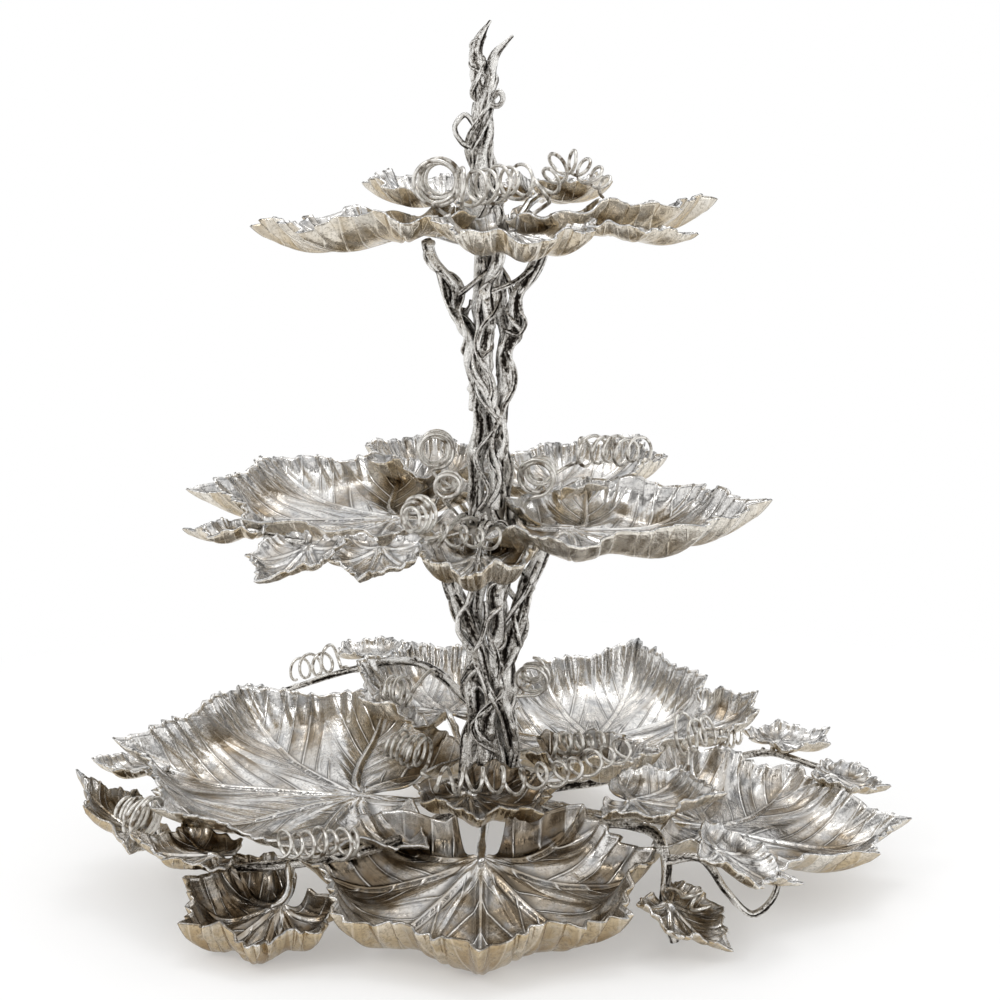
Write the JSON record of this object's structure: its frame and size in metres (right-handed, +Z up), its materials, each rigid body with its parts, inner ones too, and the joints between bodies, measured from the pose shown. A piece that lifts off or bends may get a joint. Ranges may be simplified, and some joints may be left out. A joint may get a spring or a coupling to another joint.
{
  "type": "tiered centerpiece",
  "caption": "Tiered silver centrepiece of dished vine leaves and coiled tendrils round a stem of twisted vine stalks.",
  "frame": {"origin": "on the table, at the centre of the object's outline, under the stem", "axes": "+Z up along the stem, +X to the right and -Y to the front as pictured"},
  "size_m": [0.5002, 0.4082, 0.5225],
  "materials": {
    "bright_silver": "polished silver",
    "oxidised_silver": "bark-textured silver, darkened in its hollows"
  },
  "bodies": {
    "base": {"base_plate": "oxidised_silver", "base_nut": "oxidised_silver", "lower_stem": "oxidised_silver", "twig_front_left": "oxidised_silver", "twig_back_left": "oxidised_silver", "twig_right_front": "oxidised_silver", "twig_right": "oxidised_silver", "base_leaf_front": "bright_silver", "base_leaf_back": "bright_silver", "base_leaf_left": "bright_silver", "base_leaf_right": "bright_silver", "base_leaf_back_right": "bright_silver", "base_leaf_back_left": "bright_silver", "base_leaf_front_left": "bright_silver", "base_leaf_centre_right": "bright_silver", "base_leaf_front_centre": "bright_silver", "base_leaf_far_right": "bright_silver", "base_small_far_left": "bright_silver", "base_small_left_edge": "bright_silver", "base_small_upper_left": "bright_silver", "base_small_twig": "bright_silver", "base_small_under_left": "bright_silver", "base_small_right_front": "bright_silver", "base_small_right_low": "bright_silver", "base_small_far_right": "bright_silver", "base_small_upper_right": "bright_silver", "base_tendril_left": "bright_silver", "base_tendril_twig": "bright_silver", "base_tendril_back": "bright_silver", "base_tendril_centre": "bright_silver", "base_tendril_front_left": "bright_silver", "base_tendril_long": "bright_silver", "base_tendril_stem": "bright_silver", "base_tendril_right": "bright_silver"},
    "middle_tier": {"middle_plate": "oxidised_silver", "twig_middle": "oxidised_silver", "middle_leaf_left": "bright_silver", "middle_leaf_front_right": "bright_silver", "middle_leaf_back_right": "bright_silver", "middle_leaf_back_left": "bright_silver", "middle_leaf_front": "bright_silver", "middle_small_front_left": "bright_silver", "middle_small_left": "bright_silver", "middle_small_far_left": "bright_silver", "middle_tendril_left": "bright_silver", "middle_tendril_front": "bright_silver", "middle_tendril_right": "bright_silver", "middle_tendril_back": "bright_silver"},
    "upper_stem": {"upper_stem": "oxidised_silver"},
    "top_tier": {"top_plate": "oxidised_silver", "top_leaf_left": "bright_silver", "top_leaf_right": "bright_silver", "top_leaf_front": "bright_silver", "top_leaf_back_left": "bright_silver", "top_leaf_back_right": "bright_silver", "top_small_right_front": "bright_silver", "top_tendril_left": "bright_silver", "top_tendril_front": "bright_silver", "top_tendril_fan": "bright_silver"},
    "finial": {"finial": "oxidised_silver"}
  },
  "joints": [
    {"name": "middle_tier_lift", "type": "slide", "parent": "base", "child": "middle_tier", "axis": [0, 0, 1], "range_m": [0, 0.06]},
    {"name": "upper_stem_lift", "type": "slide", "parent": "middle_tier", "child": "upper_stem", "axis": [0, 0, 1], "range_m": [0, 0.06]},
    {"name": "top_tier_lift", "type": "slide", "parent": "upper_stem", "child": "top_tier", "axis": [0, 0, 1], "range_m": [0, 0.06]},
    {"name": "finial_lift", "type": "slide", "parent": "top_tier", "child": "finial", "axis": [0, 0, 1], "range_m": [0, 0.06]}
  ]
}
